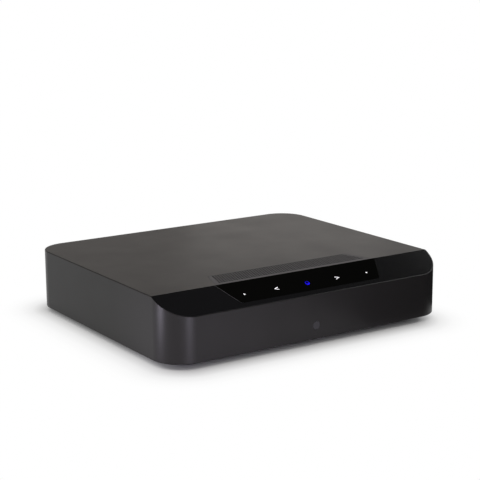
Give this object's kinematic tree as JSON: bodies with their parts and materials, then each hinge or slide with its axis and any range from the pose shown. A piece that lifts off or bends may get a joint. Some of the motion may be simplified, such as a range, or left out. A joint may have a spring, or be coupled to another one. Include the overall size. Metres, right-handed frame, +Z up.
{
  "type": "network music streamer",
  "caption": "Low rounded box with a sloping gloss front edge, a touch panel with a vent behind it, and audio, network and power sockets at the rear.",
  "frame": {"origin": "on the surface the feet stand on, under the middle of the overall size, rear sockets included", "axes": "+X to the right seen from the front, -Y out of the front with the touch panel, +Z up"},
  "size_m": [0.219, 0.193, 0.044],
  "materials": {
    "aluminium": "bare aluminium",
    "base_black": "black powder coat",
    "black_plastic": "moulded black",
    "cable_white": "flat cable",
    "chip_black": "moulded chip case",
    "circuit_green": "solder mask",
    "cover_satin": "satin charcoal paint on a moulded cover",
    "fascia_gloss": "polished black",
    "gold": "gold plate",
    "grille_grey": "grey mesh",
    "lamp_clear": "clear lamp",
    "nickel": "nickel plate",
    "orange_plastic": "moulded orange",
    "pad_grey": "silicone pad",
    "panel_black": "matte black paint",
    "red_plastic": "moulded red",
    "rubber": "soft matte rubber",
    "screw_steel": "zinc plated steel",
    "sheet_clear": "insulating sheet",
    "sign_blue": "lit blue",
    "sign_white": "printed white",
    "sleeve_blue": "capacitor sleeve",
    "touch_gloss": "polished deep black",
    "white_plastic": "moulded white",
    "winding_yellow": "winding tape",
    "window_dark": "dark infrared window",
    "wire_black": "wire sheath"
  },
  "bodies": {
    "streamer": {"top_cover": "cover_satin", "base_plate": "base_black", "rear_panel": "panel_black", "rubber_feet": "rubber", "casing_screws": "screw_steel", "board_screws": "screw_steel", "slope_fascia": "fascia_gloss", "touch_panel": "touch_gloss", "touch_signs": "sign_white", "status_ring": "sign_blue", "light_guide": "black_plastic", "touch_board": "circuit_green", "indicator_lamps": "lamp_clear", "ribbon_sockets": "white_plastic", "flat_ribbons": "cable_white", "vent_grille": "grille_grey", "infrared_window": "window_dark", "infrared_receiver": "chip_black", "receiver_board": "circuit_green", "mains_inlet": "black_plastic", "inlet_pins": "nickel", "network_socket": "nickel", "network_contacts": "gold", "data_socket": "nickel", "video_socket": "nickel", "socket_tongues": "black_plastic", "optical_socket": "black_plastic", "phono_blocks": "black_plastic", "phono_barrels": "gold", "phono_cores": "black_plastic", "orange_ring": "orange_plastic", "black_ring": "black_plastic", "red_ring": "red_plastic", "white_ring": "white_plastic", "jack_sockets": "black_plastic", "jack_nuts": "nickel", "reset_switch": "black_plastic", "main_board": "circuit_green", "processor": "chip_black", "thermal_pad": "pad_grey", "heat_sink": "aluminium", "memory_chips": "chip_black", "converter_chips": "chip_black", "can_capacitors": "sleeve_blue", "wireless_module": "circuit_green", "shield_can": "nickel", "antennas": "circuit_green", "antenna_leads": "wire_black", "power_board": "circuit_green", "insulating_sheet": "sheet_clear", "mains_fuse": "nickel", "line_filter": "winding_yellow", "bulk_capacitor": "sleeve_blue", "power_transformer": "winding_yellow", "power_heat_plate": "aluminium", "switching_transistor": "chip_black", "lead_plugs": "white_plastic", "power_leads": "wire_black"},
    "shutter": {"optical_shutter": "black_plastic"},
    "button": {"reset_button": "black_plastic"}
  },
  "joints": [
    {"name": "shutter_hinge", "type": "hinge", "parent": "streamer", "child": "shutter", "pos_m": [-0.01853, 0.0835, 0.0227], "axis": [-1, 0, 0], "range_deg": [0, 85], "stiffness_Nm_per_rad": 0.001},
    {"name": "reset_press", "type": "slide", "parent": "streamer", "child": "button", "axis": [0, -1, 0], "range_m": [0, 0.0004], "stiffness_N_per_m": 1500}
  ]
}
